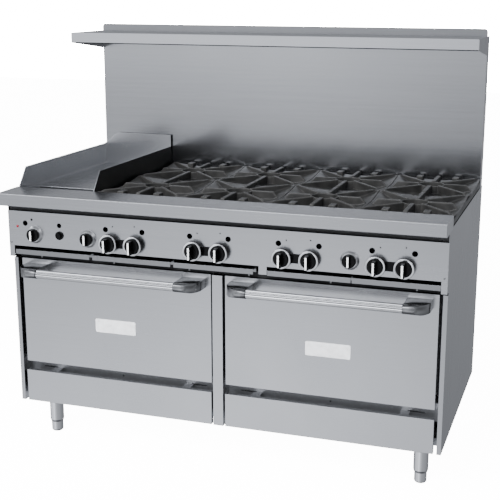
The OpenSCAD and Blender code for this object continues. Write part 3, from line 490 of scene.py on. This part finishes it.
# CAD nodes that get broken edges: node, material, width of the edge in millimetres
ROUNDED = (
    ("side_panels", "side", 0.6), ("back_panel", "zinc", 0.4), ("base_frame", "zinc", 0.6),
    ("front_rail", "steel_x", 0.8), ("control_panel", "steel_x", 0.4),
    ("backguard", "backguard", 0.5), ("high_shelf", "shelf", 0.5),
    ("griddle_splash", "steel_y", 0.6), ("griddle_plate", "griddle", 0.8))
# CAD nodes that keep their shape: node, material
DRESSED = (
    # The top frame takes the dark paint as painted shade, so that the gaps it shows read dark
    ("top_frame", "paint"), ("burners", "iron"), ("gas_manifold", "brass"),
    ("gas_valves", "brass"), ("oven_liners", "enamel"), ("oven_insulation", "wool"),
    ("oven_racks", "chrome"), ("legs", "leg"), ("fasteners", "screw"))


def split_level(piece, z):
    """Cuts the faces of a piece at one height, so that they can be painted apart."""
    bm = bmesh.new()
    bm.from_mesh(piece.data)
    bmesh.ops.bisect_plane(bm, geom=bm.verts[:] + bm.edges[:] + bm.faces[:],
                           plane_co=(0, 0, z), plane_no=(0, 0, 1))
    bm.to_mesh(piece.data)
    bm.free()


def repaint(piece, mat, test):
    """Gives a second material to the faces of a piece that pass a test."""
    mesh = piece.data
    mesh.materials.append(MATS[mat])
    for face in mesh.polygons:
        if test(face):
            face.material_index = len(mesh.materials) - 1


def make_sheets():
    """The sheet parts, with the shelf's lip brightened as painted light, the backguard above the
    shelf's deck darkened as painted shade, and a splash wall painted apart.
    """
    square_on = 0.9
    for node, mat, width in ROUNDED:
        piece = rounded(node, "range", mat, width)
        if node == "high_shelf":
            # Painted light: the lip's front face takes a much brighter copy of the shelf's steel
            repaint(piece, "lip", lambda face: face.normal.y < -square_on)
        if node == "backguard":
            deck = high("high_shelf").z - 4 * MM
            split_level(piece, deck)
            # Painted shade: above the shelf's deck the backguard takes the shelf's darker steel
            repaint(piece, "shelf", lambda face: face.center.z > deck)
        if node == "griddle_splash":
            # The splash's right-facing faces in its right half take the near-black steel
            centre = middle(node).x
            repaint(piece, "splash_dark_side", lambda face: face.normal.x > square_on
                    and face.center.x > centre)
    for node, mat in DRESSED:
        dress(node, mat)
    for side in SIDES:
        rounded("door_skin_" + side, "door_" + side, "steel_x", 2.2, 4)
        dress("door_liner_" + side, "enamel")
        rounded("kick_panel_" + side, "kick_" + side, "steel_x", 0.9)
    for i in range(1, 6):
        rounded("tray_%d" % i, "tray_%d" % i, "tray", 0.5)
    for i in range(1, 5):
        dress("foot_%d" % i, "leg")


def dress(node, mat):
    """Gives a CAD node its material and leaves its shape alone."""
    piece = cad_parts[node]
    piece.data.materials.clear()
    piece.data.materials.append(MATS[mat])


def make_painted_shelf_shadow():
    """Painted shadow: a black strip along the folded lower edge of the shelf's lip, where its
    underside lies in shade.
    """
    lo, hi = low("high_shelf"), high("high_shelf")
    lip_foot = high("backguard").z - 0.064
    inset, proud, depth = 0.002, 0.0003, 0.004
    under, height = 0.0002, 0.0030
    shadow_strip = bmesh.new()
    block(shadow_strip, (lo.x + inset, lo.y - proud, lip_foot - under),
          (hi.x - inset, lo.y + depth, lip_foot + height), 0.0004)
    # The black strip is a painted shadow, not a part of the shelf
    piece_from(shadow_strip, "high_shelf_painted_shadow", "black", "range")


def make_front_frame():
    """Steel trims and posts, a duller strip under the doors, and a cross rail over the doors in
    dark paint: painted shade for the recess between doors and trays.
    """
    door_top = high("door_skin_left").z
    tray_foot = low("tray_3").z
    front = low("front_frame").y
    rail_near, rail_far = front + 0.015, front + 0.06
    overlap = 0.02
    square_on = 0.9
    steel = rounded("front_frame", "range", "steel_z", 0.5)
    rail = bmesh.new()
    rail.from_mesh(steel.data)
    keep = bmesh.new()
    keep.from_mesh(steel.data)

    def on_rail(face):
        place = face.calc_center_median()
        return door_top < place.z < tray_foot and rail_near < place.y < rail_far

    bmesh.ops.delete(rail, geom=[f for f in rail.faces if not on_rail(f)], context="FACES")
    bmesh.ops.delete(keep, geom=[f for f in keep.faces if on_rail(f)], context="FACES")
    keep.to_mesh(steel.data)
    keep.free()
    door_foot = low("door_skin_left").z
    kick_top = high("kick_panel_left").z
    repaint(steel, "post", lambda face: face.normal.y < -square_on
            and kick_top - overlap < face.center.z < door_foot + overlap)
    # Painted shade: the cross rail takes the dark paint for the shadowed recess above the doors
    piece_from(rail, "front_frame_cross_rail_painted_shade", "paint", "range")


# ---- Grates ----

def make_grates():
    """Fused, softened castings from the CAD shapes: no edge of a casting is crisp."""
    for row in ("front", "rear"):
        for i in range(1, 5):
            node = "grate_%s_%d" % (row, i)
            piece = link(node + "_casting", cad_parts[node].data.copy(), "iron")
            remesh = piece.modifiers.new("fuse", "REMESH")
            remesh.mode = "VOXEL"
            remesh.voxel_size = 1.6 * MM
            soften = piece.modifiers.new("soften", "SMOOTH")
            soften.factor = 0.5
            soften.iterations = 3
            thin = piece.modifiers.new("thin", "DECIMATE")
            thin.ratio = 0.25
            apply_modifiers(piece)
            smooth_by_angle(piece.data, 60)
            finish_piece(piece, node, [node])


def apply_modifiers(piece):
    graph = bpy.context.evaluated_depsgraph_get()
    mesh = bpy.data.meshes.new_from_object(piece.evaluated_get(graph))
    piece.modifiers.clear()
    piece.data = mesh


# ---- Knobs ----

def arc(centre, radius, start, end, steps=6):
    """Points of an arc in a lathe profile, angles in degrees."""
    points = []
    for i in range(steps + 1):
        angle = math.radians(start + (end - start) * i / steps)
        points.append((centre[0] + radius * math.cos(angle), centre[1] + radius * math.sin(angle)))
    return points


def turned(profile, node, part, mat, nodes=()):
    """A part of a knob: a profile turned round the knob's axis, measured from its back."""
    bm = lathe(profile)
    facing_front(bm, middle(node).x, high(node).y, middle(node).z)
    return piece_from(bm, node + "_" + part, mat, node, nodes)


def blade(node, back, width, below, above):
    """Grip across a knob's face, tapering to the front, with a white line along its ridge."""
    x, z = middle(node).x, middle(node).z
    front = low(node).y
    rear = high(node).y - back
    taper, slope, edge = 0.80, 0.0025, 0.0016
    grip = bmesh.new()
    block(grip, (x - width / 2, front + 0.0003, z - below), (x + width / 2, rear, z + above))
    for vert in grip.verts:
        if vert.co.y < (front + rear) / 2:
            vert.co.x = x + (vert.co.x - x) * taper
            vert.co.z += slope if vert.co.z < z else -slope
    bmesh.ops.bevel(grip, geom=grip.edges[:], offset=edge, segments=3, affect="EDGES",
                    profile=0.5, clamp_overlap=True)
    piece_from(grip, node + "_blade", "black", node, angle=50)
    half_line, foot_gap, head_gap = 0.0031, 0.0045, 0.004
    line = bmesh.new()
    block(line, (x - half_line, front + 0.0001, z - below + foot_gap),
          (x + half_line, front + 0.002, z + above - head_gap), 0.0006)
    piece_from(line, node + "_pointer", "white", node)


def make_burner_knob(k):
    """Burner knob, in (radius, distance from its back): hollow skirt, chrome ring, cap and grip."""
    node = "burner_knob_%d" % k
    ring_r = (high(node).x - low(node).x) / 2
    skirt_r = ring_r - 0.0015
    ring_back, ring_front = 0.0145, 0.0175
    bore, hollow, rim = 0.012, 0.026, 0.0285
    floor = 0.010
    turned([(bore, floor), (hollow, floor), (rim, 0.0), (skirt_r - 0.002, 0.0),
            (skirt_r - 0.001, 0.004), (skirt_r, ring_back), (bore, ring_back), (bore, floor)],
           node, "skirt", "black", [node])
    inner = 0.0252
    outer_edge = arc((ring_r - 0.0022, ring_front - 0.0014), 0.0022, -40, 90, 8)
    inner_edge = arc((inner + 0.0012, ring_front - 0.0014), 0.0014, 90, 200, 8)
    turned([(ring_r - 0.002, ring_back)] + outer_edge + inner_edge
           + [(inner, ring_back), (ring_r - 0.002, ring_back)],
           node, "ring", "ring")
    face = ring_front + 0.005
    turned([(bore, ring_back), (inner - 0.0006, ring_back)]
           + arc((inner - 0.0026, face - 0.0022), 0.0020, 0, 80)
           + [(0.017, face - 0.0006), (0.0, face - 0.001)],
           node, "cap", "black")
    blade(node, face - 0.002, width=0.0125, below=0.026, above=0.0225)


def make_dial(node):
    """Thermostat knob: a rounded cap and a grip."""
    radius = (high(node).x - low(node).x) / 2
    back, face = 0.0045, 0.0160
    turned([(0.005, back), (radius - 0.001, back), (radius, back + 0.002)]
           + arc((radius - 0.0025, face - 0.0025), 0.0025, 0, 80)
           + [(0.012, face - 0.0006), (0.0, face - 0.001)],
           node, "cap", "black", [node])
    blade(node, face - 0.002, width=0.0115, below=radius - 0.001, above=radius - 0.001)


def make_bezels():
    """Silver dishes behind the thermostat knobs, rising to the knob."""
    x_of = [middle(k).x for k in ("oven_knob_left", "griddle_knob", "oven_knob_right")]
    z = middle("griddle_knob").z
    rise = 0.008
    bore, rim = 0.011, 0.0008
    radius = (high("dial_bezels").z - low("dial_bezels").z) / 2
    for i, x in enumerate(x_of):
        bm = lathe([(bore, 0.0), (radius, 0.0)] + arc((radius - rim, rim), rim, 0, 60, 4)
                   + [(0.0245, rise - 0.0006)] + arc((0.0235, rise - 0.001), 0.001, 40, 90, 4)
                   + [(bore, rise), (bore, 0.0)])
        facing_front(bm, x, PANEL_Y, z)
        piece_from(bm, "dial_dish_%d" % (i + 1), "satin", "range",
                   ["dial_bezels"] if i == 0 else ())


# ---- Trim on the control panel ----

def make_panel_trim():
    """The lamp's lens in red; the other trims stay black."""
    bm = cleaned_copy("panel_trim")
    left = low("panel_trim").x
    lens_r, lamp_z, lamp_end = 0.0045, 0.793, 0.012
    lens = lathe([(0.0, 0.0), (lens_r, 0.0), (lens_r, 0.0006)]
                 + arc((0.0, -0.0046), 0.0066, 48, 90, 6))
    facing_front(lens, left + lens_r, PANEL_Y, lamp_z)
    piece_from(lens, "lamp_lens", "red", "range")
    bmesh.ops.delete(bm, geom=[f for f in bm.faces if f.calc_center_median().x < left + lamp_end],
                     context="FACES")
    piece_from(bm, "panel_trim_black", "black", "range", ["panel_trim"])


# ---- Handles ----

def fluted_bar(length, radius, flutes=20, depth=0.0011, steps=8):
    """A straight fluted bar along X, closed at both ends."""
    bm = bmesh.new()
    count = flutes * steps
    ends = []
    for x in (-length / 2, length / 2):
        ring = []
        for i in range(count):
            angle = 2 * math.pi * i / count
            dip = depth * abs(math.cos(flutes * angle / 2)) ** 1.5
            r = radius - dip
            ring.append(bm.verts.new((x, r * math.cos(angle), r * math.sin(angle))))
        ends.append(ring)
        bm.faces.new(ring)
    for i in range(count):
        j = (i + 1) % count
        bm.faces.new((ends[0][i], ends[0][j], ends[1][j], ends[1][i]))
    bmesh.ops.recalc_face_normals(bm, faces=bm.faces)
    return bm


def prism(outline, start, end, axis):
    """A solid with a polygon outline, drawn out along X or Z."""
    bm = bmesh.new()
    rows = []
    for place in (start, end):
        if axis == "x":
            rows.append([bm.verts.new((place, a, b)) for a, b in outline])
        else:
            rows.append([bm.verts.new((a, b, place)) for a, b in outline])
        bm.faces.new(rows[-1])
    for i in range(len(outline)):
        j = (i + 1) % len(outline)
        bm.faces.new((rows[0][i], rows[0][j], rows[1][j], rows[1][i]))
    bmesh.ops.recalc_face_normals(bm, faces=bm.faces)
    return bm


def combine(first, second, operation):
    """Boolean of two bmeshes, as a new bmesh."""
    objects = []
    for bm in (first, second):
        mesh = bpy.data.meshes.new("operand")
        bm.to_mesh(mesh)
        bm.free()
        operand = bpy.data.objects.new("operand", mesh)
        bpy.context.scene.collection.objects.link(operand)
        objects.append(operand)
    modifier = objects[0].modifiers.new("combine", "BOOLEAN")
    modifier.operation = operation
    modifier.object = objects[1]
    modifier.solver = "EXACT"
    apply_modifiers(objects[0])
    result = bmesh.new()
    result.from_mesh(objects[0].data)
    for operand in objects:
        mesh = operand.data
        bpy.data.objects.remove(operand)
        bpy.data.meshes.remove(mesh)
    return result


def bracket(inner, outer, front, door_y, bar_z, radius):
    """Cast end of a handle: its plan turns the corner to the door, its side holds the bar."""
    corner = 0.060
    wall = 0.005
    outer_wall = 0.024
    spare = 0.01
    turn = arc((outer - corner, front + corner), corner, -90, 0, 24)
    plan = [(inner, front)] + turn + [(outer, door_y), (inner, door_y)]
    nose = arc((front + radius, bar_z), radius, 270, 90, 32)
    side = [(door_y, bar_z - radius)] + nose + [(door_y, bar_z + radius)]
    solid = combine(prism(plan, bar_z - 0.06, bar_z + 0.06, "z"),
                    prism(side, inner - spare, outer + spare, "x"), "INTERSECT")
    pocket = bmesh.new()
    block(pocket, (inner + wall, front + 2 * radius, bar_z - 2 * radius),
          (outer - outer_wall, door_y - wall, bar_z + radius - wall))
    return combine(solid, pocket, "DIFFERENCE")


def make_handle(side):
    """Fluted bar between two cast ends, with a fine joint line where it enters them."""
    node = "door_handle_" + side
    body = "door_" + side
    centre = middle(node)
    half = (high(node).x - low(node).x) / 2
    radius = (high(node).z - low(node).z) / 2
    front = low(node).y
    bar_half = half - 0.076
    joint = bar_half - 0.002
    bar = fluted_bar(2 * bar_half, radius - 0.0014)
    place = Matrix.Translation((centre.x, front + radius, centre.z))
    bmesh.ops.transform(bar, matrix=place, verts=bar.verts)
    piece_from(bar, node + "_bar", "bar", body, [node], angle=50)
    for s in (-1, 1):
        mark = "a" if s < 0 else "b"
        end = bracket(joint, half, front, high(node).y, centre.z, radius)
        sharp = [e for e in end.edges if len(e.link_faces) == 2
                 and e.calc_face_angle(0) > math.radians(50)]
        bmesh.ops.bevel(end, geom=sharp, offset=0.0008, segments=2, affect="EDGES",
                        profile=0.5, clamp_overlap=True)
        if s < 0:
            bmesh.ops.scale(end, vec=(-1, 1, 1), verts=end.verts)
            bmesh.ops.reverse_faces(end, faces=end.faces)
        bmesh.ops.transform(end, matrix=Matrix.Translation((centre.x, 0, 0)), verts=end.verts)
        piece_from(end, "%s_end_%s" % (node, mark), "casting", body, angle=35)
        ring_in, ring_out, ring_w = radius - 0.004, radius - 0.0006, 0.0012
        sleeve = lathe([(ring_in, -ring_w), (ring_out, -ring_w), (ring_out, 0.0),
                        (ring_in, 0.0), (ring_in, -ring_w)])
        spin = Matrix.Rotation(math.radians(90 * s), 4, "Y")
        at = Matrix.Translation((centre.x + s * joint, front + radius, centre.z))
        bmesh.ops.transform(sleeve, matrix=at @ spin, verts=sleeve.verts)
        piece_from(sleeve, "%s_joint_%s" % (node, mark), "black", body)


def make_door_plates():
    """Blank white plates with rounded corners."""
    for side in SIDES:
        node = "door_plate_" + side
        lo, hi = low(node), high(node)
        corner = 0.005
        centres = ((hi.x - corner, hi.z - corner, 0), (lo.x + corner, hi.z - corner, 90),
                   (lo.x + corner, lo.z + corner, 180), (hi.x - corner, lo.z + corner, 270))
        outline = [p for x, z, a in centres for p in arc((x, z), corner, a, a + 90, 6)]
        bm = prism(outline, -hi.y, -lo.y, "z")
        bmesh.ops.transform(bm, matrix=Matrix.Rotation(math.radians(90), 4, "X"), verts=bm.verts)
        rim = [e for e in bm.edges if all(abs(v.co.y - lo.y) < 1e-6 for v in e.verts)]
        bmesh.ops.bevel(bm, geom=rim, offset=0.0009, segments=3, affect="EDGES", profile=0.5,
                        clamp_overlap=True)
        piece_from(bm, node + "_plate", "plate", "door_" + side, [node])


# ---- Put it together ----

make_camera()
make_world()
make_floor()
area_light("key", (-0.8, -4.0, 3.2), (0, -0.3, 0.6), (2.4, 2.0), 420)
make_painted_shelf_shadow()
make_sheets()
make_front_frame()
make_grates()
for number in range(1, 9):
    make_burner_knob(number)
for dial in ("oven_knob_left", "griddle_knob", "oven_knob_right"):
    make_dial(dial)
make_bezels()
make_panel_trim()
dress("igniter_button", "black")
for side in SIDES:
    make_handle(side)
make_door_plates()
